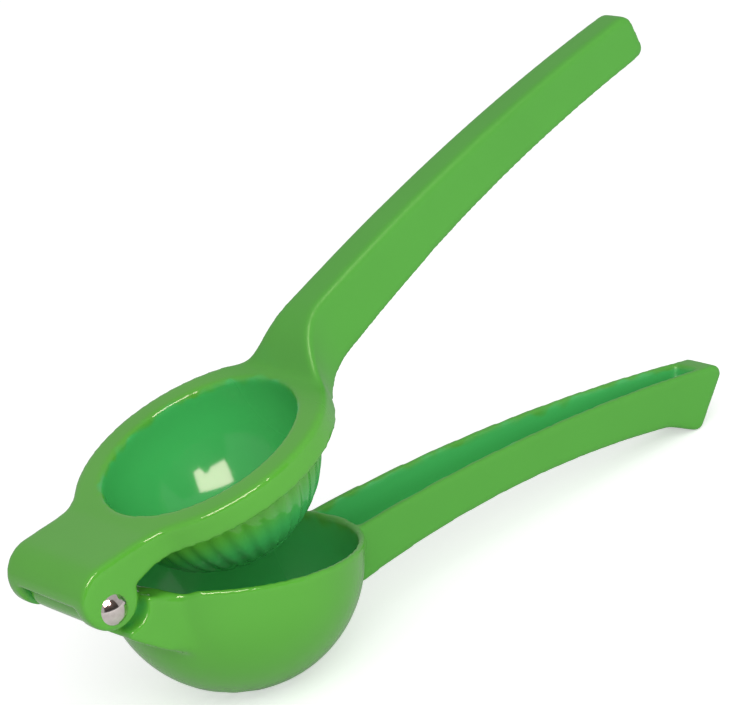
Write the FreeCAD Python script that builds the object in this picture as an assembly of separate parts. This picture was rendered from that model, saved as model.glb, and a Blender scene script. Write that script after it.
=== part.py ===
import FreeCAD, Part
import math
import os

# Hinged lemon squeezer: two cast arms on one pin.
# Sizes are millimetres and degrees. Each arm is drawn closed, in a frame whose origin is the pin's
# axis: X runs to the handles, Y along the pin, Z up, and the rim of the bowl lies level.

# Bowl of the lower arm
bowl_centre_x = 49.4
bowl_radius = 35.5
bowl_rim_flare = 0.6
bowl_depth_to_centre = 3.2
bowl_wall = 2.0

# Drain holes in the bottom of the bowl; the pitch is an angle at the centre of the ball
drain_hole_radius = 1.9
drain_ring_pitch = 10.0
drain_ring_counts = (6, 12)

# Hinge
pin_radius = 2.5
pin_running_clearance = 0.05
hinge_half_width = 19.2
ear_thickness = 5.2
side_clearance = 0.35
lug_radius = 5.6
ear_radius = 9.1
ear_centre_x = 1.5
ear_centre_z = 3.0
ear_toe_radius = 7.6
ear_toe_angle = 254.0
notch_z = 0.9
notch_run = 12.0
bridge_wall = 2.6
bridge_lip_angle = 169.0
bridge_roof_angle = 85.0
pocket_run = 5.0

# Neck between the hinge and the bowl, with a hollow seat beside each ear
seat_centre_x = 4.1
seat_centre_z = -0.7
seat_radius = 6.3
neck_shoulder_slope = 27.0
neck_under_angle = 232.0
neck_under_sag = 1.1
neck_end_angle = 212.0

# Rivet heads on the pin
head_radius = 4.1
head_height = 2.1
cap_grip = 1.2

# Ring and dome of the press arm
ring_centre_x = 51.1
ring_radius = 36.9
ring_top_z = 10.0
ring_skirt_height = 7.6
ring_skirt_wall = 2.6
ring_top_wall = 3.0
ring_blend = 14.0
crease_x = 18.0
opening_radius = 28.3
opening_lip = 0.8
lip_step = 0.3
dome_wall = 2.8
dome_bottom_z = -25.0
flute_count = 36
flute_mouth = 3.0
flute_floor = 1.2
flute_depth = 0.65
flute_end_radius = 16.5

# Handle of the press arm: heights are over the pin's axis
press_handle_end_x = 228.5
press_handle_root_half = 6.5
press_handle_end_half = 5.4
press_handle_root_blend = 20.0
press_handle_overlap = 2.0
press_handle_under_run = 3.0
press_channel_gap = 1.5
press_channel_start_rise = 2.0
press_top_root_z = 20.2
press_top_end_z = 27.4
press_top_bow = 4.0
press_bottom_root_z = 0.8
press_bottom_end_z = 14.1
press_bottom_bow = 5.3
press_rise_gap = 0.8
press_rise_run = 18.0
press_rise_foot_pull = 0.2
press_rise_head_pull = 0.65
press_end_rounding = 3.0
press_wall = 2.2
press_web = 2.6

# Handle of the bowl arm
bowl_handle_end_x = 223.4
bowl_handle_root_half = 12.3
bowl_handle_end_half = 6.3
bowl_top_root_z = -0.4
bowl_top_end_z = 13.8
bowl_top_bow = 3.9
bowl_bottom_root_z = -15.8
bowl_bottom_end_z = -2.4
bowl_bottom_bow = 7.4
bowl_handle_wall = 2.4
bowl_handle_floor = 2.6
channel_start_gap = 0.5
channel_ramp_length = 12.0
channel_ramp_head_pull = 0.1
channel_ramp_foot_pull = 0.5
channel_ramp_shoulder = 5.7
channel_end_gap = 16.0
finger_stop_depth = 3.0
finger_stop_length = 13.0
finger_stop_pull = 0.3
finger_stop_first_drop = 0.15
finger_stop_last_drop = 0.9
end_edge_rounding = 2.6
end_slant = 30.0

# The opening that the photograph shows, counted from closed
photographed_opening = 25.0

RIM_Z = 0.0

# Reach of a cutting form that only has to be wider than the tool, and its overshoot at an end
WIDE = 60.0
BEYOND = 1.0

# Closest that two points or levels may lie and still count as one
SAME = 1e-4


def side(x, z):
    return FreeCAD.Vector(x, 0, z)


def plan(x, y):
    return FreeCAD.Vector(x, y, 0)


def polar(centre, radius, degrees):
    angle = math.radians(degrees)
    return side(centre.x + radius * math.cos(angle), centre.z + radius * math.sin(angle))


def outline(start, *steps):
    """Closed face: a step is a point, a pair (through, end) for an arc, or three poles for a curve."""
    edges = []
    here = start
    for step in steps + (start,):
        points = step if isinstance(step, tuple) else (step,)
        end = points[-1]
        if here.distanceToPoint(end) < SAME:
            continue
        if len(points) == 1:
            edges.append(Part.makeLine(here, end))
        elif len(points) == 2:
            edges.append(Part.Arc(here, points[0], end).toShape())
        else:
            curve = Part.BezierCurve()
            curve.setPoles([here] + list(points))
            edges.append(curve.toShape())
        here = end
    return Part.Face(Part.Wire(edges))


def across(face, half_width):
    """Side outline made into a solid from -half_width to half_width."""
    solid = face.extrude(FreeCAD.Vector(0, 2 * half_width, 0))
    solid.translate(FreeCAD.Vector(0, -half_width, 0))
    return solid


def upright(face):
    solid = face.extrude(FreeCAD.Vector(0, 0, 2 * WIDE))
    solid.translate(FreeCAD.Vector(0, 0, -WIDE))
    return solid


def turned(face, axis_x):
    return face.revolve(FreeCAD.Vector(axis_x, 0, 0), FreeCAD.Vector(0, 0, 1), 360)


def rod(radius, y_from, y_to):
    return Part.makeCylinder(radius, y_to - y_from, FreeCAD.Vector(0, y_from, 0),
                             FreeCAD.Vector(0, 1, 0))


def half_way(a, b, bow):
    """Point half way from a to b, lifted by the bow."""
    return side((a.x + b.x) / 2, (a.z + b.z) / 2 + bow)


def arch_z(a, b, bow, x):
    """Height at x of the arch from a to b."""
    share = (x - a.x) / (b.x - a.x)
    return a.z + (b.z - a.z) * share + 4 * bow * share * (1 - share)


def arch_point(a, b, bow, x, lift=0.0):
    return side(x, arch_z(a, b, bow, x) + lift)


def arch(a, b, bow, x_from, x_to, lift=0.0):
    """Arc step along the arch from x_from to x_to: its middle and its end."""
    middle = arch_point(a, b, bow, (x_from + x_to) / 2, lift)
    return middle, arch_point(a, b, bow, x_to, lift)


def tangent_point(point, centre, radius, turn):
    """Where a line from the point touches the circle; turn is +1 or -1 for the side it touches."""
    reach = point.sub(centre)
    base = math.degrees(math.atan2(reach.z, reach.x))
    opening = math.degrees(math.acos(radius / reach.Length))
    return polar(centre, radius, base + turn * opening)


def taper(x_from, half_from, x_to, half_to):
    return Part.Face(Part.makePolygon([
        plan(x_from, -half_from), plan(x_to, -half_to), plan(x_to, half_to),
        plan(x_from, half_from), plan(x_from, -half_from)]))


def taper_between(root_x, root_half, end_x, end_half, x_from, x_to, inset=0.0):
    """Plan of a handle from x_from to x_to, with sides that run through the root and end widths."""
    slope = (end_half - root_half) / (end_x - root_x)
    return taper(x_from, root_half + slope * (x_from - root_x) - inset,
                 x_to, root_half + slope * (x_to - root_x) - inset)


def upright_edges(solid, centre_x, radius):
    """Upright edges that stand on a circle, without the seam on the middle plane."""
    found = []
    for edge in solid.Edges:
        a, b = edge.Vertexes[0].Point, edge.Vertexes[-1].Point
        on_circle = abs(math.hypot(a.x - centre_x, a.y) - radius) < SAME
        if abs(a.z - b.z) > WIDE and on_circle and abs(a.y) > BEYOND:
            found.append(edge)
    return found


# The cup forms are turned about the axis of the bowl or of the ring.

def cup(centre, radius, rim_radius, rim_z, top_z):
    """Half ball with sides that run straight from it through the rim, and on to top_z."""
    rim = side(centre.x + rim_radius, rim_z)
    start = tangent_point(rim, centre, radius, -1)
    draft = (rim.x - start.x) / (rim.z - start.z)
    top = side(rim.x + draft * (top_z - rim_z), top_z)
    below = Part.makeCylinder(2 * radius, start.z - centre.z + 2 * radius,
                              side(centre.x, centre.z - 2 * radius))
    sides = turned(outline(side(centre.x, start.z), start, top, side(centre.x, top.z)), centre.x)
    return Part.makeSphere(radius, centre).common(below).fuse(sides).removeSplitter()


def bowl_centre():
    return side(bowl_centre_x, RIM_Z - bowl_depth_to_centre)


def bowl_rim_radius():
    return bowl_radius + bowl_rim_flare


def bowl_outside():
    return cup(bowl_centre(), bowl_radius, bowl_rim_radius(), RIM_Z, RIM_Z)


def bowl_inside():
    return cup(bowl_centre(), bowl_radius - bowl_wall, bowl_rim_radius() - bowl_wall, RIM_Z,
               RIM_Z + ear_radius)


def drain_holes():
    """One hole in the lowest point and rings of holes round it, each square to the wall."""
    centre = bowl_centre()
    lowest = Part.makeCylinder(drain_hole_radius, bowl_radius + bowl_wall, centre,
                               FreeCAD.Vector(0, 0, -1))
    holes = [lowest]
    for number, count in enumerate(drain_ring_counts, start=1):
        leaning = lowest.copy()
        leaning.rotate(centre, FreeCAD.Vector(0, 1, 0), number * drain_ring_pitch)
        for step in range(count):
            hole = leaning.copy()
            hole.rotate(centre, FreeCAD.Vector(0, 0, 1), 360 * step / count)
            holes.append(hole)
    return holes


# Lower casting: bowl, neck with the hinge lug, and a handle open upward.

def lug_half():
    return hinge_half_width - ear_thickness - side_clearance


def ear_seat():
    """Room for an ear beside the lug: a round hollow with all that lies in front of it, and a
    level sill behind it that the side of the ring comes down to."""
    centre = side(seat_centre_x, seat_centre_z)
    front = side(-2 * ear_radius, 0)
    hollow = across(outline(polar(centre, seat_radius, 90), (polar(centre, seat_radius, 0),
                                                             polar(centre, seat_radius, -90)),
                            side(centre.x, -WIDE), side(front.x, -WIDE),
                            side(front.x, ear_radius), side(centre.x, ear_radius)), WIDE)
    sill = side(centre.x, notch_z - side_clearance)
    above_sill = Part.makeBox(bowl_centre_x - sill.x, 2 * WIDE, ear_radius,
                              FreeCAD.Vector(sill.x, -WIDE, sill.z))
    middle = Part.makeBox(4 * WIDE, 2 * lug_half(), 4 * WIDE,
                          FreeCAD.Vector(-2 * WIDE, -lug_half(), -2 * WIDE))
    return hollow.fuse(above_sill).cut(middle)


def neck():
    """Block from the pin to the bowl, as wide as the hinge, with a round lug between the ears."""
    pin = side(0, 0)
    low = polar(pin, lug_radius, neck_under_angle)
    face_reach = math.sqrt(bowl_radius ** 2 - hinge_half_width ** 2)
    end = polar(bowl_centre(), face_reach, neck_end_angle)
    inside_bowl = bowl_centre_x - face_reach / 2
    crest = polar(pin, lug_radius, 90 - neck_shoulder_slope)
    shoulder = side(crest.x + crest.z / math.tan(math.radians(neck_shoulder_slope)), RIM_Z)
    block = across(outline(crest, (side(-lug_radius, 0), low),
                           (half_way(low, end, -neck_under_sag), end),
                           side(inside_bowl, end.z), side(inside_bowl, RIM_Z), shoulder),
                   hinge_half_width)
    return block.cut(ear_seat())


def bowl_handle_root():
    return side(bowl_centre_x + bowl_rim_radius() - bowl_wall, bowl_top_root_z)


def bowl_handle():
    """Arched channel: side outline crossed with the tapered plan, less the channel."""
    top_root = bowl_handle_root()
    top_end = side(bowl_handle_end_x, bowl_top_end_z)
    low_root = side(top_root.x, bowl_bottom_root_z)
    low_end = side(bowl_handle_end_x, bowl_bottom_end_z)
    inside_bowl = bowl_centre_x + bowl_radius / 2
    stop_x = bowl_handle_end_x - math.tan(math.radians(end_slant)) * (
        bowl_top_end_z - bowl_bottom_end_z + finger_stop_depth)
    stop_start = stop_x - finger_stop_length
    pull = finger_stop_pull * finger_stop_length
    low = (low_root, low_end, bowl_bottom_bow)
    high = (top_root, top_end, bowl_top_bow)
    body = across(outline(
        side(inside_bowl, RIM_Z), side(inside_bowl, low_root.z), low_root,
        arch(*low, low_root.x, stop_start),
        (arch_point(*low, stop_start + pull, -finger_stop_first_drop * finger_stop_depth),
         arch_point(*low, stop_x - pull, -finger_stop_last_drop * finger_stop_depth),
         arch_point(*low, stop_x, -finger_stop_depth)),
        top_end, arch(*high, top_end.x, top_root.x), side(top_root.x, RIM_Z)), WIDE)
    widths = (top_root.x, bowl_handle_root_half, bowl_handle_end_x, bowl_handle_end_half)
    body = body.common(upright(taper_between(
        *widths, inside_bowl, bowl_handle_end_x + BEYOND)))
    ends = [edge for edge in body.Edges
            if is_across(edge) and edge.CenterOfMass.x > stop_x - BEYOND]
    body = body.makeFillet(end_edge_rounding, ends)
    ramp_end = bowl_handle_end_x - channel_end_gap + channel_ramp_length / 2
    ramp_start = ramp_end - channel_ramp_length
    over = top_end.z + bowl_top_bow
    channel = across(outline(
        side(inside_bowl, over), side(ramp_end + BEYOND, over), arch_point(*high, ramp_end),
        (arch_point(*low, ramp_end - channel_ramp_head_pull * channel_ramp_length,
                    channel_ramp_shoulder),
         arch_point(*low, ramp_start + channel_ramp_foot_pull * channel_ramp_length,
                    bowl_handle_floor),
         arch_point(*low, ramp_start, bowl_handle_floor)),
        arch(*low, ramp_start, inside_bowl, bowl_handle_floor)), WIDE)
    channel = channel.common(upright(taper_between(
        *widths, inside_bowl, bowl_handle_end_x, bowl_handle_wall)))
    rim_band = Part.makeCylinder(bowl_rim_radius() + channel_start_gap, 2 * WIDE,
                                 FreeCAD.Vector(bowl_centre_x, 0, -WIDE))
    return body.cut(channel.cut(rim_band))


def is_across(edge):
    """Straight edge along the pin's direction."""
    if len(edge.Vertexes) < 2:
        return False
    a, b = edge.Vertexes[0].Point, edge.Vertexes[-1].Point
    return abs(a.x - b.x) < SAME and abs(a.z - b.z) < SAME and abs(a.y - b.y) > BEYOND


def make_bowl_arm():
    arm = bowl_outside().fuse([neck(), bowl_handle()]).removeSplitter()
    arm = arm.cut([bowl_inside()] + drain_holes())
    bore = rod(pin_radius + pin_running_clearance, -lug_half() - BEYOND, lug_half() + BEYOND)
    return arm.cut(bore)


# Upper casting: ring, fluted dome, bridge with two ears, and a handle open downward.

def ring_bottom_z():
    return ring_top_z - ring_skirt_height


def press_root_x():
    return ring_centre_x + ring_radius - press_handle_overlap


def press_rise_start():
    return ring_centre_x + opening_radius + opening_lip + press_rise_gap


def press_rise_end():
    return press_rise_start() + press_rise_run


def press_side():
    """Side outline: bridge round the hinge, ring, rise to the handle, arch, and back below."""
    crease = side(crease_x, ring_top_z)
    ear = side(ear_centre_x, ear_centre_z)
    ear_touch = tangent_point(crease, ear, ear_radius, 1)
    toe = polar(ear, ear_radius - ear_toe_radius, ear_toe_angle)
    toe_start = polar(ear, ear_radius, ear_toe_angle)
    notch = side(toe.x + math.sqrt(ear_toe_radius ** 2 - (toe.z - notch_z) ** 2), notch_z)
    top = (side(press_root_x(), press_top_root_z), side(press_handle_end_x, press_top_end_z),
           press_top_bow)
    low = (side(press_root_x(), press_bottom_root_z), side(press_handle_end_x, press_bottom_end_z),
           press_bottom_bow)
    rise_foot = side(press_rise_start(), ring_top_z)
    rise_head = arch_point(*top, press_rise_end())
    foot_pole = side(rise_foot.x + press_rise_foot_pull * press_rise_run, rise_foot.z)
    head_pole = arch_point(*top, rise_head.x - press_rise_head_pull * press_rise_run)
    return outline(crease, ear_touch, (polar(ear, ear_radius, 180), toe_start),
                   (polar(toe, ear_toe_radius, ear_toe_angle / 2 + 180), notch),
                   side(notch.x + notch_run, ring_bottom_z()),
                   side(press_root_x() - press_handle_under_run, ring_bottom_z()), low[0],
                   arch(*low, low[0].x, press_handle_end_x), top[1],
                   arch(*top, press_handle_end_x, rise_head.x),
                   (head_pole, foot_pole, rise_foot))


def press_plan():
    """Plan outline: ring, bridge strip and tapered handle, with hollow blends between them."""
    ring = Part.makeCylinder(ring_radius, 2 * WIDE, FreeCAD.Vector(ring_centre_x, 0, -WIDE))
    strip = upright(taper(ear_centre_x - 2 * ear_radius, hinge_half_width,
                          ring_centre_x, hinge_half_width))
    handle = upright(taper_between(press_root_x(), press_handle_root_half, press_handle_end_x,
                                   press_handle_end_half, ring_centre_x,
                                   press_handle_end_x + BEYOND))
    whole = ring.fuse([strip, handle]).removeSplitter()
    corners = upright_edges(whole, ring_centre_x, ring_radius)
    near_hinge = [edge for edge in corners if edge.CenterOfMass.x < ring_centre_x]
    whole = whole.makeFillet(ring_blend, near_hinge)
    corners = upright_edges(whole, ring_centre_x, ring_radius)
    near_handle = [edge for edge in corners if edge.CenterOfMass.x > ring_centre_x]
    return whole.makeFillet(press_handle_root_blend, near_handle)


def hinge_pocket():
    """Space under the bridge for the lug: round inside, open below the lip."""
    ear = side(ear_centre_x, ear_centre_z)
    inner = ear_radius - bridge_wall
    lip = polar(ear, inner, bridge_lip_angle)
    outer = polar(ear, ear_radius + BEYOND, bridge_lip_angle)
    deep = ear.z - ear_radius - BEYOND
    right = side(ear.x + inner, ear.z)
    neck_end = right.x + pocket_run
    return across(outline(lip, (polar(ear, inner, bridge_roof_angle), right), side(neck_end, right.z),
                          side(neck_end, deep), side(outer.x, deep), outer),
                  hinge_half_width - ear_thickness)


def ring_groove():
    """Groove below the ring, between its skirt and the dome."""
    inner = ring_centre_x + opening_radius + dome_wall / 2
    outer = ring_centre_x + ring_radius - ring_skirt_wall
    top = ring_top_z - ring_top_wall
    below = ring_bottom_z() - BEYOND
    return turned(outline(side(inner, below), side(outer, below), side(outer, top),
                          side(inner, top)), ring_centre_x)


def dome_radius():
    return opening_radius + dome_wall


def dome_centre():
    return side(ring_centre_x, dome_bottom_z + dome_radius())


def flutes():
    """Grooves down the ball, evenly round the ring's axis: each is a trough's section carried
    along the ball's surface from its middle to where the plain cap begins."""
    radius = dome_radius()
    centre = dome_centre()
    floor_x = centre.x + radius - flute_depth
    draft = (flute_mouth - flute_floor) / 2 / flute_depth
    outer_half = flute_floor / 2 + 2 * flute_depth * draft
    corners = [(floor_x, -flute_floor / 2), (floor_x + 2 * flute_depth, -outer_half),
               (floor_x + 2 * flute_depth, outer_half), (floor_x, flute_floor / 2)]
    section = Part.Face(Part.makePolygon(
        [FreeCAD.Vector(x, y, centre.z) for x, y in corners + corners[:1]]))
    sweep = math.degrees(math.acos(flute_end_radius / radius))
    groove = section.revolve(centre, FreeCAD.Vector(0, 1, 0), sweep)
    grooves = []
    for step in range(flute_count):
        copy = groove.copy()
        copy.rotate(centre, FreeCAD.Vector(0, 0, 1), 360 * (step + 0.5) / flute_count)
        grooves.append(copy)
    return grooves


def dome_outside():
    top = ring_top_z - ring_top_wall / 2
    return cup(dome_centre(), dome_radius(), dome_radius(), top, top).cut(flutes())


def dome_inside():
    """Hollow of the dome, with the bevelled lip where it opens in the ring's top."""
    edge = ring_centre_x + opening_radius
    lip_low = side(edge, ring_top_z - opening_lip)
    lip_middle = side(edge + lip_step * opening_lip, ring_top_z - lip_step * opening_lip)
    lip_top = side(edge + opening_lip, ring_top_z)
    above = ring_top_z + BEYOND
    lip = turned(outline(side(ring_centre_x, lip_low.z), lip_low, lip_middle, lip_top,
                         side(lip_top.x, above), side(ring_centre_x, above)), ring_centre_x)
    hollow = cup(dome_centre(), opening_radius, opening_radius, ring_top_z, ring_top_z)
    return hollow.fuse(lip).removeSplitter()


def press_channel():
    """Hollow of the press handle, open downward."""
    top = (side(press_root_x(), press_top_root_z), side(press_handle_end_x, press_top_end_z),
           press_top_bow)
    start_x = ring_centre_x + ring_radius + press_channel_gap
    end_x = press_handle_end_x - press_wall
    body = across(outline(
        side(start_x, -WIDE), side(end_x, -WIDE), arch_point(*top, end_x, -press_web),
        arch(*top, end_x, press_rise_end(), -press_web),
        side(start_x, ring_top_z + press_channel_start_rise)), WIDE)
    return body.common(upright(taper_between(
        press_root_x(), press_handle_root_half, press_handle_end_x, press_handle_end_half,
        start_x - BEYOND, end_x + BEYOND, press_wall)))


def make_press_arm():
    body = press_plan().common(across(press_side(), WIDE))
    tip = [edge for edge in body.Edges
           if is_across(edge) and edge.CenterOfMass.x > press_handle_end_x - BEYOND]
    body = body.makeFillet(press_end_rounding, tip)
    body = body.cut([hinge_pocket(), ring_groove(), press_channel()])
    body = body.fuse(dome_outside()).cut(dome_inside())
    bore = rod(pin_radius, -hinge_half_width - BEYOND, hinge_half_width + BEYOND)
    return body.cut(bore).removeSplitter()


# Pin: shank with one domed head, and a domed cap on its other end.

def dome_head(y_face, direction):
    """Domed button whose flat side lies on the outer face of an ear."""
    ball = (head_radius ** 2 + head_height ** 2) / (2 * head_height)
    centre_y = y_face + direction * (head_height - ball)
    button = Part.makeSphere(ball, FreeCAD.Vector(0, centre_y, 0))
    reach = sorted((y_face, y_face + direction * 2 * ball))
    return button.common(rod(2 * head_radius, reach[0], reach[1]))


def make_hinge_pin():
    shank = rod(pin_radius, -hinge_half_width, hinge_half_width + cap_grip)
    return shank.fuse(dome_head(-hinge_half_width, -1)).removeSplitter()


def make_pin_cap():
    return dome_head(hinge_half_width, 1).cut(rod(pin_radius, 0, hinge_half_width + cap_grip))


# Resting place: the bowl arm tips until the bowl and the finger stop both touch the ground.

def rest_tilt(arm):
    """Tilt about the pin, in degrees, that brings the tip of the handle to the bowl's level."""
    low, high = 0.0, 30.0
    for _ in range(30):
        middle = (low + high) / 2
        turned_arm = arm.copy()
        turned_arm.rotate(FreeCAD.Vector(0, 0, 0), FreeCAD.Vector(0, 1, 0), middle)
        handle_low = turned_arm.optimalBoundingBox(False).ZMin
        if handle_low < lowest_of_bowl(middle) - SAME:
            high = middle
        else:
            low = middle
    return (low + high) / 2


def lowest_of_bowl(tilt):
    angle = math.radians(tilt)
    centre_height = bowl_centre().z * math.cos(angle) - bowl_centre_x * math.sin(angle)
    return centre_height - bowl_radius


def main():
    bowl_arm = make_bowl_arm()
    tilt = rest_tilt(bowl_arm)
    pieces = {"bowl_arm": bowl_arm}
    for name, make in (("press_arm", make_press_arm), ("hinge_pin", make_hinge_pin),
                       ("pin_cap", make_pin_cap)):
        piece = make()
        piece.rotate(FreeCAD.Vector(0, 0, 0), FreeCAD.Vector(0, 1, 0), -photographed_opening)
        pieces[name] = piece
    for piece in pieces.values():
        piece.rotate(FreeCAD.Vector(0, 0, 0), FreeCAD.Vector(0, 1, 0), tilt)
    box = Part.makeCompound(list(pieces.values())).optimalBoundingBox(False)
    move = FreeCAD.Vector(-box.Center.x, -box.Center.y, -box.ZMin)
    os.makedirs("parts", exist_ok=True)
    for name, piece in pieces.items():
        piece.translate(move)
        piece.exportStep("parts/" + name + ".step")
        print(name, "volume", round(piece.Volume, 1), "solids", len(piece.Solids),
              "valid", piece.isValid())
    print("tilt", round(tilt, 3), "pin axis", [round(v, 3) for v in move], "box", box)


main()
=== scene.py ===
import math

import bpy
import numpy as np
from mathutils import Matrix, Vector
from mathutils.bvhtree import BVHTree
from mathutils.kdtree import KDTree


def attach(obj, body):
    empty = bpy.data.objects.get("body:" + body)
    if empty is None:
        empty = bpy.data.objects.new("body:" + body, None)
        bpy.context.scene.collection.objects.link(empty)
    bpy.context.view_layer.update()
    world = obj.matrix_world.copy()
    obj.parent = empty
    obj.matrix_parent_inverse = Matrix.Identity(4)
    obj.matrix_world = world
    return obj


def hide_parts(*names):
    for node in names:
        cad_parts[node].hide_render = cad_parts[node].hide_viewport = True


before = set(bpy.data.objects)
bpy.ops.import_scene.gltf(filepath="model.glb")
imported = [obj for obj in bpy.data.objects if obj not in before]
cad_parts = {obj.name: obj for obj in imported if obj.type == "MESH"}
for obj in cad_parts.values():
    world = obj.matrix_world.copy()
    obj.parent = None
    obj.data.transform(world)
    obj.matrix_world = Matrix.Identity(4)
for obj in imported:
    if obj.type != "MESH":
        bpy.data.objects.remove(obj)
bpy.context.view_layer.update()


# Bowl arm: the lower casting, aluminium poured in one piece from the lug of the hinge over the
# bowl to the end of the handle. The casting is fettled, so that no edge is left sharp, and
# covered with a thick gloss enamel. Places along an arm are metres from the pin's axis.

PIN_PLACE = np.array((-0.1055, 0.0, 0.049224))
BOWL_ARM_TILT = 12.388
FACET_EDGE = 0.0012
MOST_FACET_STEPS = 64
GRAIN_SIZE = 0.00068
MELT_PASSES = 4
SEAM_STEP = 0.0004
SAME_PLACE = 1e-7
SHARP_COSINE = 0.88
BALL_REACH = 2.5
HOLLOW_RAYS = 24
HOLLOW_REACH = 0.06
HOLLOW_STEP = 14
HOLLOW_PASSES = 14
TINY_SHARE = 1e-9
HANDLED_AT = (0.071, 0.080)


def corners_of(node):
    """Corner places and corner normals of the solid's facets, facet by facet."""
    mesh = node.data
    mesh.calc_loop_triangles()
    count = len(mesh.loop_triangles)
    corner = np.zeros(count * 3, np.int32)
    mesh.loop_triangles.foreach_get("loops", corner)
    place = np.zeros(len(mesh.vertices) * 3)
    mesh.vertices.foreach_get("co", place)
    loop_vertex = np.zeros(len(mesh.loops), np.int32)
    mesh.loops.foreach_get("vertex_index", loop_vertex)
    normal = np.zeros(len(mesh.loops) * 3)
    mesh.corner_normals.foreach_get("vector", normal)
    points = place.reshape(-1, 3)[loop_vertex[corner]].reshape(count, 3, 3)
    normals = normal.reshape(-1, 3)[corner].reshape(count, 3, 3)
    return points, normals


def curved_facets(points, normals, edge):
    """Each facet cut into a grid of small ones that bulge to the surface that the corner normals
    describe: a point goes half way to its mean projection on the planes that stand on the
    corners, p - 0.5 sum(s_k ((p - p_k) . n_k) n_k), which on a ball or a cylinder is exactly
    the surface."""
    longest = np.linalg.norm(points - np.roll(points, 1, axis=1), axis=2).max(axis=1)
    steps = np.clip(2 ** np.ceil(np.log2(longest / edge)), 1, MOST_FACET_STEPS).astype(int)
    all_points, all_faces, base = [], [], 0
    for n in np.unique(steps):
        p, q = points[steps == n], normals[steps == n]
        i, j = np.meshgrid(np.arange(n + 1), np.arange(n + 1), indexing="ij")
        inside = i + j <= n
        number = np.full((n + 1, n + 1), -1)
        number[inside] = np.arange(inside.sum())
        share = np.stack([n - i - j, i, j], axis=-1)[inside] / n
        flat = np.einsum("sk,tkc->tsc", share, p)
        lift = np.einsum("tskc,tkc->tsk", flat[:, :, None] - p[:, None], q)
        bulged = flat - 0.5 * np.einsum("sk,tsk,tkc->tsc", share, lift, q)
        a, b = i[(i + j < n)], j[(i + j < n)]
        up = np.stack([number[a, b], number[a + 1, b], number[a, b + 1]], axis=1)
        c, d = i[(i + j < n - 1)], j[(i + j < n - 1)]
        down = np.stack([number[c + 1, d], number[c + 1, d + 1], number[c, d + 1]], axis=1)
        small = np.concatenate([up, down])
        offsets = base + np.arange(len(p)) * len(share)
        all_points.append(bulged.reshape(-1, 3))
        all_faces.append((small[None] + offsets[:, None, None]).reshape(-1, 3))
        base += len(p) * len(share)
    return np.concatenate(all_points), np.concatenate(all_faces)


def in_arm_frame(points, tilt):
    """The points as seen from the pin's axis with the arm laid level: a turn by minus the tilt."""
    angle = math.radians(tilt)
    x, y, z = (points - PIN_PLACE).T
    return np.stack([x * math.cos(angle) - z * math.sin(angle), y,
                     x * math.sin(angle) + z * math.cos(angle)], axis=-1)


def seams_of(points, normals):
    """Samples along the solid's sharp edges: place, direction along the edge, the normals of the
    two sides, and whether the edge stands out. Facets are paired by their edges' end places. On
    an edge of length L along t the samples bulge by 0.5 s (1 - s) L ((t . n1) n1 - (t . n2) n2)
    for each side, where n1 and n2 are its normals at the two ends."""
    start = points.reshape(-1, 3)
    finish = np.roll(points, -1, axis=1).reshape(-1, 3)
    apex = np.roll(points, 1, axis=1).reshape(-1, 3)
    first = normals.reshape(-1, 3)
    second = np.roll(normals, -1, axis=1).reshape(-1, 3)
    keys = np.round(np.concatenate([start, finish], axis=1) / SAME_PLACE).astype(np.int64)
    swap = [3, 4, 5, 0, 1, 2]
    order = {tuple(key): number for number, key in enumerate(keys.tolist())}
    mate = np.array([order.get(tuple(key), -1) for key in keys[:, swap].tolist()])
    mine = np.flatnonzero(mate > np.arange(len(mate)))
    other = mate[mine]
    sharp = np.einsum("ij,ij->i", first[mine], second[other]) < SHARP_COSINE
    mine, other = mine[sharp], other[sharp]
    proud = np.einsum("ij,ij->i", apex[other] - start[mine], first[mine]) < 0
    count = np.ceil(np.linalg.norm(finish[mine] - start[mine], axis=1) / SEAM_STEP).astype(int) + 1
    row = np.repeat(np.arange(len(mine)), count)
    share = np.concatenate([np.linspace(0, 1, n) for n in count])[:, None]
    place = start[mine][row] * (1 - share) + finish[mine][row] * share
    along = (finish[mine] - start[mine])[row]
    sides, bulge = [], 0
    for near, far in ((first[mine], second[mine]), (second[other], first[other])):
        near, far = near[row], far[row]
        sides.append(near * (1 - share) + far * share)
        rise = np.einsum("ij,ij->i", along, near)[:, None] * near
        fall = np.einsum("ij,ij->i", along, far)[:, None] * far
        bulge = bulge - 0.5 * share * (1 - share) * (rise - fall)
    place = place + bulge
    one, two = sides
    unit = [v / np.linalg.norm(v, axis=1, keepdims=True) for v in (along, one, two)]
    return place, *unit, proud[row]


def nearest_seam(points, place):
    """For each point the number of the nearest sample, and the distance to it."""
    tree = KDTree(len(place))
    for number, spot in enumerate(place):
        tree.insert(spot, number)
    tree.balance()
    found = [tree.find(point)[1:] for point in points]
    number, distance = zip(*found)
    return np.array(number), np.array(distance)


def ball_rounded(points, place, along, one, two, radius):
    """A ball of the sample's radius R rolls inside each outstanding edge. Its centre is
    c = e - R (n1 + n2) / (1 + n1 . n2); a point whose offset q from c, square to the edge, lies
    between the two normals and is longer than R moves back to R q / |q|."""
    number, distance = nearest_seam(points, place)
    size = radius[number][:, None]
    e, t, a, b = place[number], along[number], one[number], two[number]
    cosine = np.einsum("ij,ij->i", a, b)[:, None]
    centre = e - size * (a + b) / (1 + cosine)
    q = points - centre
    q = q - np.einsum("ij,ij->i", q, t)[:, None] * t
    length = np.linalg.norm(q, axis=1, keepdims=True)
    qa = np.einsum("ij,ij->i", q, a)[:, None]
    qb = np.einsum("ij,ij->i", q, b)[:, None]
    inside = (qa - cosine * qb > 0) & (qb - cosine * qa > 0) & (length > size)
    near = distance[:, None] < BALL_REACH * size
    moved = points - q * (1 - size / length)
    return np.where(inside & near, moved, points)


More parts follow.
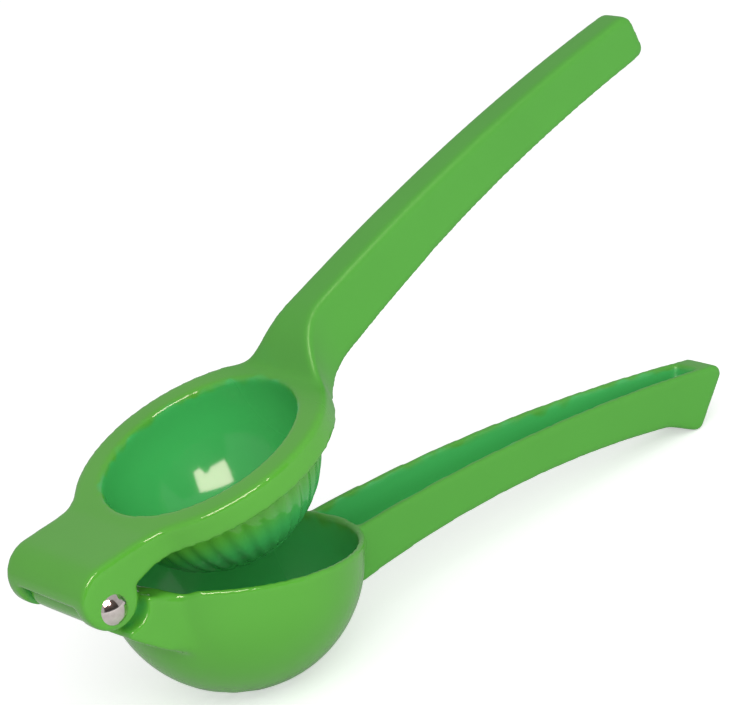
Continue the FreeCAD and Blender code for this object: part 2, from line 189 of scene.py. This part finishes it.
def drawn_together(points, edges, passes, share=1.0):
    """Pass by pass each point goes half way, times its share, to the mean of its neighbours."""
    a, b = edges.T
    count = len(points)
    degree = np.bincount(edges.ravel(), minlength=count)[:, None]
    for _ in range(passes):
        total = np.stack([np.bincount(a, points[b, k], count) + np.bincount(b, points[a, k], count)
                          for k in range(points.shape[1])], axis=1)
        points = points + 0.5 * share * (total / degree - points)
    return points


def closed_in(mesh, points, edges):
    """Share of the view from each point that the piece itself hides. It is found by rays from
    every HOLLOW_STEP-th point, spread evenly by the golden angle with sin(tilt) = sqrt(share),
    and is carried to the points between over the edges."""
    tree = BVHTree.FromPolygons(points.tolist(), [tuple(f.vertices) for f in mesh.polygons])
    normal = np.zeros(len(points) * 3)
    mesh.vertices.foreach_get("normal", normal)
    normal = normal.reshape(-1, 3)
    share = (np.arange(HOLLOW_RAYS) + 0.5) / HOLLOW_RAYS
    turn = np.arange(HOLLOW_RAYS) * math.pi * (3 - math.sqrt(5))
    rays = np.stack([np.sqrt(share) * np.cos(turn), np.sqrt(share) * np.sin(turn),
                     np.sqrt(1 - share)], axis=1)
    picked = np.arange(0, len(points), HOLLOW_STEP)
    level = np.zeros(len(points))
    for number in picked:
        up = Vector(normal[number])
        frame_of_point = up.to_track_quat("Z", "Y").to_matrix()
        origin = Vector(points[number]) + up * GRAIN_SIZE
        directions = rays @ np.array(frame_of_point).T
        level[number] = sum(tree.ray_cast(origin, ray, HOLLOW_REACH)[0] is not None
                            for ray in directions.tolist()) / HOLLOW_RAYS
    known = np.zeros(len(points))
    known[picked] = 1.0
    pair = np.stack([level, known], axis=1)
    pair = drawn_together(pair, edges, HOLLOW_PASSES)
    return pair[:, 0] / np.maximum(pair[:, 1], TINY_SHARE)


def enamelled_casting(name, node, tilt, edge_radius, soft_share, extra_shade=None):
    """A casting under enamel: the CAD solid's own surface, rebuilt in even squares as wide as
    the grain, with a ball rolled along its edges and its points then drawn together as wet
    enamel is. edge_radius gives the ball for the samples of the edges, soft_share the share by
    which a point is drawn further where two forms flow into each other, and the last argument
    the places where more painted shade is laid on than the piece's hiding of its view gives."""
    corner_places, corner_normals = corners_of(node)
    points, faces = curved_facets(corner_places, corner_normals, FACET_EDGE)
    mesh = bpy.data.meshes.new(name)
    mesh.from_pydata(points, [], faces)
    piece = bpy.data.objects.new(name, mesh)
    bpy.context.scene.collection.objects.link(piece)
    rebuild = piece.modifiers.new("even_squares", "REMESH")
    rebuild.mode = "VOXEL"
    rebuild.voxel_size = GRAIN_SIZE
    bpy.context.view_layer.update()
    finished = bpy.data.meshes.new_from_object(
        piece.evaluated_get(bpy.context.evaluated_depsgraph_get()))
    piece.modifiers.clear()
    piece.data = finished
    flat = np.zeros(len(finished.vertices) * 3)
    finished.vertices.foreach_get("co", flat)
    points = flat.reshape(-1, 3)
    ends = np.zeros(len(finished.edges) * 2, np.int32)
    finished.edges.foreach_get("vertices", ends)
    edges = ends.reshape(-1, 2)
    place, along, one, two, proud = seams_of(corner_places, corner_normals)
    radius = edge_radius(place, one, two)
    use = proud & (radius > 0)
    points = ball_rounded(points, place[use], along[use], one[use], two[use], radius[use])
    points = drawn_together(points, edges, MELT_PASSES)
    share, passes = soft_share(points, place[~proud])
    points = drawn_together(points, edges, passes, share[:, None])
    finished.vertices.foreach_set("co", points.ravel())
    finished.update()
    # Painted shade: where the piece hides much of its own view, the enamel is tinted a cooler
    # green that stands in for the bluish light in its shaded hollows.
    painted_shade = finished.attributes.new("painted_shade", "FLOAT", "POINT")
    shade_amount = closed_in(finished, points, edges)
    # Painted shade added on top of the hidden share, where the piece gives more.
    if extra_shade:
        shade_amount = np.maximum(shade_amount, extra_shade(points))
    painted_shade.data.foreach_set("value", shade_amount)
    handled = finished.attributes.new("handled", "FLOAT", "POINT")
    along_arm = in_arm_frame(points, tilt)[:, 0]
    handled.data.foreach_set("value", np.interp(along_arm, HANDLED_AT, (0.0, 1.0)))
    finished.shade_smooth()
    return piece


def wired(tree, links):
    """Joins a material's nodes: each link is a node, its output, the next node and its input."""
    for start, output, end, entry in links:
        tree.links.new(start.outputs[output], end.inputs[entry])


ENAMEL_GREEN = (0.102, 0.42, 0.040)
HANDLE_DARKER_GREEN = (0.082, 0.388, 0.038)
# Painted shade: the cooler green laid on where the piece is closed in.
SHADE_PAINT_GREEN = (0.064, 0.49, 0.120)
ENAMEL_ROUGHNESS = 0.11
HANDLED_ROUGHNESS = 0.42
ENAMEL_IOR = 1.5
ENAMEL_CLOUD = 0.93
CLOUD_SCALE, CLOUD_DETAIL = 28.0, 3.0
PEEL_SCALE, PEEL_DETAIL = 260.0, 1.0
PEEL_STRENGTH = 0.03
PEEL_DEPTH = 0.0002
# Painted shade begins where a tenth of the view is hidden and is full where half is.
OPEN_BELOW = 0.1
SHADE_FULL_FROM = 0.5


def gloss_enamel(name):
    """Green enamel with faint clouds and the skin of an orange. Where the piece closes itself in,
    painted shade turns it a deeper, cooler green. The handles are a darker green and rougher."""
    material = bpy.data.materials.new(name)
    material.use_nodes = True
    tree = material.node_tree
    shader = tree.nodes["Principled BSDF"]
    shader.inputs["IOR"].default_value = ENAMEL_IOR
    handled = tree.nodes.new("ShaderNodeAttribute")
    handled.attribute_name = "handled"
    rubbed = tree.nodes.new("ShaderNodeMapRange")
    rubbed.inputs["To Min"].default_value = ENAMEL_ROUGHNESS
    rubbed.inputs["To Max"].default_value = HANDLED_ROUGHNESS
    place = tree.nodes.new("ShaderNodeTexCoord")
    painted_shade = tree.nodes.new("ShaderNodeAttribute")
    painted_shade.attribute_name = "painted_shade"
    # Painted shade: the hidden share of the view mixes the cooler green into the enamel.
    shade_amount = tree.nodes.new("ShaderNodeMapRange")
    shade_amount.interpolation_type = "SMOOTHSTEP"
    shade_amount.inputs["From Min"].default_value = OPEN_BELOW
    shade_amount.inputs["From Max"].default_value = SHADE_FULL_FROM
    coat_with_shade = tree.nodes.new("ShaderNodeMix")
    coat_with_shade.data_type = "RGBA"
    coat_with_shade.inputs["B"].default_value = (*SHADE_PAINT_GREEN, 1)
    # The handles are a darker green.
    handle_tone = tree.nodes.new("ShaderNodeMix")
    handle_tone.data_type = "RGBA"
    handle_tone.inputs["A"].default_value = (*ENAMEL_GREEN, 1)
    handle_tone.inputs["B"].default_value = (*HANDLE_DARKER_GREEN, 1)
    cloud = tree.nodes.new("ShaderNodeTexNoise")
    cloud.inputs["Scale"].default_value = CLOUD_SCALE
    cloud.inputs["Detail"].default_value = CLOUD_DETAIL
    shade = tree.nodes.new("ShaderNodeMapRange")
    shade.inputs["To Min"].default_value = ENAMEL_CLOUD
    shade.inputs["To Max"].default_value = 2 - ENAMEL_CLOUD
    tinted = tree.nodes.new("ShaderNodeVectorMath")
    tinted.operation = "SCALE"
    peel = tree.nodes.new("ShaderNodeTexNoise")
    peel.inputs["Scale"].default_value = PEEL_SCALE
    peel.inputs["Detail"].default_value = PEEL_DETAIL
    bump = tree.nodes.new("ShaderNodeBump")
    bump.inputs["Strength"].default_value = PEEL_STRENGTH
    bump.inputs["Distance"].default_value = PEEL_DEPTH
    wired(tree, (
        (handled, "Fac", rubbed, "Value"),
        (rubbed, "Result", shader, "Roughness"),
        (handled, "Fac", handle_tone, "Factor"),
        (handle_tone, "Result", coat_with_shade, "A"),
        (painted_shade, "Fac", shade_amount, "Value"),
        (shade_amount, "Result", coat_with_shade, "Factor"),
        (place, "Object", cloud, "Vector"),
        (cloud, "Fac", shade, "Value"),
        (coat_with_shade, "Result", tinted, 0),
        (shade, "Result", tinted, "Scale"),
        (tinted, "Vector", shader, "Base Color"),
        (place, "Object", peel, "Vector"),
        (peel, "Fac", bump, "Height"),
        (bump, "Normal", shader, "Normal"),
    ))
    return material


BOWL_CENTRE = (0.0494, -0.0032)
BOWL_RIM_INSIDE = 0.0320
HANDLE_ROOT = 0.088
PLAIN_EDGE = 0.0006
HOLE_EDGE = 0.0004
BOWL_RIM_EDGE = 0.0009
LIP_EDGE = 0.0007
UNDER_EDGE = 0.0011
FACING_UP = 0.7
NECK_START = 0.012
NECK_HALF_WIDTH = 0.0192
NECK_FLOW_REACH = 0.006
NECK_FLOW_GAIN = 1.3
NECK_FLOW_PASSES = 40


def bowl_arm_edges(place, one, two):
    """Rim and lips as round as their walls allow, broad edges below the handle, small ones at
    the drain holes."""
    x, y, z = in_arm_frame(place, BOWL_ARM_TILT).T
    from_axis = np.hypot(x - BOWL_CENTRE[0], y)
    radius = np.full(len(x), PLAIN_EDGE)
    radius[(from_axis < BOWL_RIM_INSIDE) & (z < BOWL_CENTRE[1])] = HOLE_EDGE
    radius[(from_axis > BOWL_RIM_INSIDE) & (z > BOWL_CENTRE[1])] = BOWL_RIM_EDGE
    top = np.maximum(one[:, 2], two[:, 2]) > FACING_UP
    radius[(x > HANDLE_ROOT) & top] = LIP_EDGE
    radius[(x > HANDLE_ROOT) & ~top] = UNDER_EDGE
    return radius


def bowl_arm_flow(points, inner_seams):
    """The flat sides of the neck flow into the bowl."""
    x, y, z = in_arm_frame(inner_seams, BOWL_ARM_TILT).T
    side_seam = np.abs(np.abs(y) - NECK_HALF_WIDTH) < GRAIN_SIZE
    seam = inner_seams[side_seam & (x > NECK_START) & (x < BOWL_CENTRE[0])]
    nearness = 1 - nearest_seam(points, seam)[1] / NECK_FLOW_REACH
    return np.clip(NECK_FLOW_GAIN * nearness, 0, 1), NECK_FLOW_PASSES


enamel = gloss_enamel("green_gloss_enamel")
bowl_casting = enamelled_casting("bowl_arm_casting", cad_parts["bowl_arm"],
                                 BOWL_ARM_TILT, bowl_arm_edges, bowl_arm_flow)
bowl_casting.data.materials.append(enamel)
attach(bowl_casting, "bowl_arm")
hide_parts("bowl_arm")


# Press arm: the upper casting, of the same metal and enamel: two ears and the bridge over the
# lug, the ring, the fluted dome that presses the fruit, and the handle, whose back is rounded
# for the hand.

PRESS_ARM_TILT = -12.612
RING_CENTRE = 0.0511
OPENING_EDGE_REACH = 0.0315
RING_BOTTOM = 0.0024
OPENING_EDGE = 0.0004
FLUTE_EDGE = 0.0003
RING_EDGE = 0.0013
BACK_EDGE_AT = (0.086, 0.098, 0.110)
BACK_EDGE = (RING_EDGE, 0.0014, 0.0020)
PRESS_LIP_EDGE = 0.0006
ROOF_FACING = 0.5
NOSE_END = 0.02
PIN_HEAD_REACH = 0.004
RISE_FLOW_AT = (0.081, 0.087, 0.098, 0.108)
RISE_FLOW = (0.4, 1.0, 1.0, 0.4)
RISE_FLOW_PASSES = 6
DOME_CENTRE_Z = 0.0061
DOME_SKIN = 0.0297
# Painted shade on the dome's outside: its share at the bottom, and the height from which it is
# full.
DOME_SHADE_PAINT = 0.5
DOME_SHADE_PAINT_FULL = -0.012


def press_arm_edges(place, one, two):
    """Broad rounds along the handle's back that run on, smaller, round the ring to the ears."""
    x, y, z = in_arm_frame(place, PRESS_ARM_TILT).T
    ups = [in_arm_frame(side + PIN_PLACE, PRESS_ARM_TILT)[:, 2] for side in (one, two)]
    upper, lower = np.maximum(*ups), np.minimum(*ups)
    from_axis = np.hypot(x - RING_CENTRE, y)
    radius = np.full(len(x), PRESS_LIP_EDGE)
    radius[x < HANDLE_ROOT] = PLAIN_EDGE
    inside = from_axis < OPENING_EDGE_REACH
    radius[inside] = OPENING_EDGE
    radius[inside & (z < RING_BOTTOM)] = FLUTE_EDGE
    roof = (upper > ROOF_FACING) & (np.abs(lower) < ROOF_FACING) & ~inside
    radius = np.where(roof, np.interp(x, BACK_EDGE_AT, BACK_EDGE), radius)
    ear_side = np.abs(np.abs(y) - NECK_HALF_WIDTH) < GRAIN_SIZE
    nose = ear_side & (x < NOSE_END) & (np.hypot(x, z) > PIN_HEAD_REACH)
    return np.where(nose, np.maximum(radius, RING_EDGE), radius)


def press_arm_flow(points, inner_seams):
    """The upper side is drawn a little further, and most where it rises to the handle."""
    x, y, z = in_arm_frame(points, PRESS_ARM_TILT).T
    upper = np.clip((z - RING_BOTTOM) / PLAIN_EDGE, 0, 1)
    return upper * np.interp(x, RISE_FLOW_AT, RISE_FLOW), RISE_FLOW_PASSES


def press_arm_shade_paint(points):
    """Painted shade on the outside of the dome, stronger towards its bottom."""
    x, y, z = in_arm_frame(points, PRESS_ARM_TILT).T
    out = np.sqrt((x - RING_CENTRE) ** 2 + y ** 2 + (z - DOME_CENTRE_Z) ** 2) > DOME_SKIN
    on_dome = out & (np.hypot(x - RING_CENTRE, y) < OPENING_EDGE_REACH)
    return on_dome * np.interp(z, (DOME_SHADE_PAINT_FULL, RING_BOTTOM), (DOME_SHADE_PAINT, 0.0))


press_casting = enamelled_casting("press_arm_casting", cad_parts["press_arm"],
                                  PRESS_ARM_TILT, press_arm_edges, press_arm_flow, press_arm_shade_paint)
press_casting.data.materials.append(enamel)
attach(press_casting, "press_arm")
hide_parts("press_arm")


# Hinge pin and its cap: turned steel, polished bright. The head and the cap are low domes that
# sit on the outside of the ears.

STEEL_DARK = (0.66, 0.59, 0.56)
STEEL_LIGHT = (0.80, 0.73, 0.70)
STEEL_ROUGHNESS_MIN = 0.05
STEEL_ROUGHNESS_MAX = 0.16
STEEL_CLOUD_SCALE = 700.0
STEEL_RAMP = ((0.3, STEEL_DARK), (0.7, STEEL_LIGHT))

steel = bpy.data.materials.new("polished_pin_steel")
steel.use_nodes = True
steel_tree = steel.node_tree
steel_shader = steel_tree.nodes["Principled BSDF"]
steel_shader.inputs["Metallic"].default_value = 1.0
steel_place = steel_tree.nodes.new("ShaderNodeTexCoord")
steel_cloud = steel_tree.nodes.new("ShaderNodeTexNoise")
steel_cloud.inputs["Scale"].default_value = STEEL_CLOUD_SCALE
steel_ramp = steel_tree.nodes.new("ShaderNodeValToRGB")
for step, (position, color) in zip(steel_ramp.color_ramp.elements, STEEL_RAMP):
    step.position = position
    step.color = (*color, 1)
steel_wear = steel_tree.nodes.new("ShaderNodeMapRange")
steel_wear.inputs["To Min"].default_value = STEEL_ROUGHNESS_MIN
steel_wear.inputs["To Max"].default_value = STEEL_ROUGHNESS_MAX
wired(steel_tree, (
    (steel_place, "Object", steel_cloud, "Vector"),
    (steel_cloud, "Fac", steel_ramp, "Fac"),
    (steel_cloud, "Fac", steel_wear, "Value"),
    (steel_ramp, "Color", steel_shader, "Base Color"),
    (steel_wear, "Result", steel_shader, "Roughness"),
))
for node_name in ("hinge_pin", "pin_cap"):
    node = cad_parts[node_name]
    node.data.materials.clear()
    node.data.materials.append(steel)


# Floor: a plain white paper that the bowl and the tip of the lower handle rest on. It takes
# their shadow, and glows a little for the camera alone, so that it runs into the white behind.

FLOOR_HALF_SPAN = 3.0
FLOOR_GREY = 0.82
FLOOR_ROUGHNESS = 0.9
FLOOR_GLOW = 0.5

floor_mesh = bpy.data.meshes.new("floor")
floor_mesh.from_pydata([(x * FLOOR_HALF_SPAN, y * FLOOR_HALF_SPAN, 0)
                        for x, y in ((-1, -1), (1, -1), (1, 1), (-1, 1))], [], [(0, 1, 2, 3)])
floor = bpy.data.objects.new("floor", floor_mesh)
bpy.context.scene.collection.objects.link(floor)
floor_paint = bpy.data.materials.new("white_floor")
floor_paint.use_nodes = True
floor_tree = floor_paint.node_tree
floor_shader = floor_tree.nodes["Principled BSDF"]
floor_shader.inputs["Base Color"].default_value = (FLOOR_GREY, FLOOR_GREY, FLOOR_GREY, 1)
floor_shader.inputs["Roughness"].default_value = FLOOR_ROUGHNESS
floor_shader.inputs["Specular IOR Level"].default_value = 0.0
floor_ray = floor_tree.nodes.new("ShaderNodeLightPath")
floor_glow = floor_tree.nodes.new("ShaderNodeMath")
floor_glow.operation = "MULTIPLY"
floor_glow.inputs[1].default_value = FLOOR_GLOW
floor_shader.inputs["Emission Color"].default_value = (1, 1, 1, 1)
wired(floor_tree, (
    (floor_ray, "Is Camera Ray", floor_glow, 0),
    (floor_glow, 0, floor_shader, "Emission Strength"),
))
floor.data.materials.append(floor_paint)


# Light: a white tent all round, a large softbox on the left, one in front and a small one low on
# the right. Mirror rays see the left one's cloth, which gives the bright patch in the cup, and a
# dark card behind the camera.

TENT_LEVEL = 0.5

world = bpy.data.worlds.new("tent")
bpy.context.scene.world = world
world.use_nodes = True
tent_tree = world.node_tree
tent = tent_tree.nodes["Background"]
tent.inputs["Color"].default_value = (1, 1, 1, 1)
ray = tent_tree.nodes.new("ShaderNodeLightPath")
seen = tent_tree.nodes.new("ShaderNodeMath")
seen.operation = "MAXIMUM"
level = tent_tree.nodes.new("ShaderNodeMapRange")
level.inputs["To Min"].default_value = TENT_LEVEL
level.inputs["To Max"].default_value = 1.0
wired(tent_tree, (
    (ray, "Is Camera Ray", seen, 0),
    (ray, "Is Transmission Ray", seen, 1),
    (seen, 0, level, "Value"),
    (level, "Result", tent, "Strength"),
))


def softbox(name, place, target, width, height, power):
    """A flat lamp at its place, turned to its target, that no mirror ray sees."""
    lamp = bpy.data.lights.new(name, "AREA")
    lamp.shape = "RECTANGLE"
    lamp.size = width
    lamp.size_y = height
    lamp.energy = power
    holder = bpy.data.objects.new(name, lamp)
    holder.location = place
    toward = Vector(target) - Vector(place)
    holder.rotation_euler = toward.to_track_quat("-Z", "Y").to_euler()
    holder.visible_glossy = False
    bpy.context.scene.collection.objects.link(holder)
    return holder


SOFTBOX_PLACE = (-0.632, -0.886, 1.222)
SOFTBOX_AIM = (0.0, 0.0, 0.06)
SOFTBOX_WIDTH, SOFTBOX_HEIGHT = 1.18, 0.88
SOFTBOX_POWER = 7.0
FRONT_PLACE = (-0.40, -1.30, 0.72)
FRONT_POWER = 7.6
FILL_PLACE = (0.55, -0.65, 0.16)
FILL_AIM = (-0.05, 0.0, 0.04)
FILL_SPAN = 0.4
FILL_POWER = 0.7

key = softbox("front_softbox", SOFTBOX_PLACE, SOFTBOX_AIM, SOFTBOX_WIDTH, SOFTBOX_HEIGHT,
              SOFTBOX_POWER)
softbox("low_front", FRONT_PLACE, SOFTBOX_AIM, SOFTBOX_WIDTH, SOFTBOX_HEIGHT, FRONT_POWER)
softbox("low_fill", FILL_PLACE, FILL_AIM, FILL_SPAN, FILL_SPAN, FILL_POWER)


def reflected_only(name, corners, paint):
    """A flat card that only mirror rays see."""
    mesh = bpy.data.meshes.new(name)
    mesh.from_pydata(corners, [], [tuple(range(len(corners)))])
    mesh.materials.append(paint)
    card = bpy.data.objects.new(name, mesh)
    bpy.context.scene.collection.objects.link(card)
    card.visible_camera = False
    card.visible_diffuse = False
    card.visible_shadow = False


CLOTH_GLOW = 15.0
CLOTH_TINT = (1.0, 0.72, 0.70)
CLOTH_CORNERS = ((0.02, 0.20), (0.20, 0.09), (0.26, 0.20), (0.33, 0.33), (0.42, 0.30),
                 (0.50, 0.15), (0.90, 0.00), (1.00, 0.88), (0.10, 1.00))

cloth_paint = bpy.data.materials.new("softbox_cloth_glow")
cloth_paint.use_nodes = True
cloth_shader = cloth_paint.node_tree.nodes["Principled BSDF"]
cloth_shader.inputs["Base Color"].default_value = (0, 0, 0, 1)
cloth_shader.inputs["Emission Color"].default_value = (*CLOTH_TINT, 1)
cloth_shader.inputs["Emission Strength"].default_value = CLOTH_GLOW
bpy.context.view_layer.update()
cloth_on_lamp = [((0.5 - u) * SOFTBOX_WIDTH, (v - 0.5) * SOFTBOX_HEIGHT, 0)
                 for u, v in CLOTH_CORNERS]
reflected_only("softbox_cloth", [key.matrix_world @ Vector(corner) for corner in cloth_on_lamp],
               cloth_paint)

CARD_LEFT, CARD_RIGHT = -2.6, 1.0
CARD_FOOT, CARD_TOP = 0.05, 2.6
CARD_PLACE = -1.7
CARD_DARK, CARD_DARK_UP_TO = (0.03, 0.025, 0.022), 0.3
CARD_SHADE, CARD_SHADE_FROM = (0.20, 0.16, 0.14), 1.2

card_paint = bpy.data.materials.new("studio_card")
card_paint.use_nodes = True
card_tree = card_paint.node_tree
card_shader = card_tree.nodes["Principled BSDF"]
card_place = card_tree.nodes.new("ShaderNodeTexCoord")
card_axes = card_tree.nodes.new("ShaderNodeSeparateXYZ")
card_fade = card_tree.nodes.new("ShaderNodeMapRange")
card_fade.inputs["From Min"].default_value = CARD_DARK_UP_TO
card_fade.inputs["From Max"].default_value = CARD_SHADE_FROM
card_mix = card_tree.nodes.new("ShaderNodeMix")
card_mix.data_type = "RGBA"
card_mix.inputs["A"].default_value = (*CARD_DARK, 1)
card_mix.inputs["B"].default_value = (*CARD_SHADE, 1)
wired(card_tree, (
    (card_place, "Object", card_axes, "Vector"),
    (card_axes, "Z", card_fade, "Value"),
    (card_fade, "Result", card_mix, "Factor"),
    (card_mix, "Result", card_shader, "Base Color"),
))
card_corners = [(x, CARD_PLACE, z) for x, z in ((CARD_LEFT, CARD_FOOT), (CARD_RIGHT, CARD_FOOT),
                                                (CARD_RIGHT, CARD_TOP), (CARD_LEFT, CARD_TOP))]
reflected_only("dark_card", card_corners, card_paint)


# Camera: a long lens in front and a little to the left, looking down on the squeezer. It is
# rolled, because the picture shows the squeezer turned, with its handles raised.

CAMERA_PLACE = (-0.474157, -0.748582, 0.415343)
CAMERA_ROWS = (
    (0.761179, 0.414306, -0.498955),
    (-0.598175, 0.151235, -0.786966),
    (-0.250585, 0.897484, 0.362944),
)
LENS = 172.13
SENSOR = 36.0

camera_data = bpy.data.cameras.new("camera")
camera_data.lens = LENS
camera_data.sensor_width = SENSOR
camera = bpy.data.objects.new("camera", camera_data)
camera.matrix_world = Matrix.Translation(CAMERA_PLACE) @ Matrix(CAMERA_ROWS).to_4x4()
bpy.context.scene.collection.objects.link(camera)
bpy.context.scene.camera = camera
bpy.context.scene.view_settings.view_transform = "Standard"
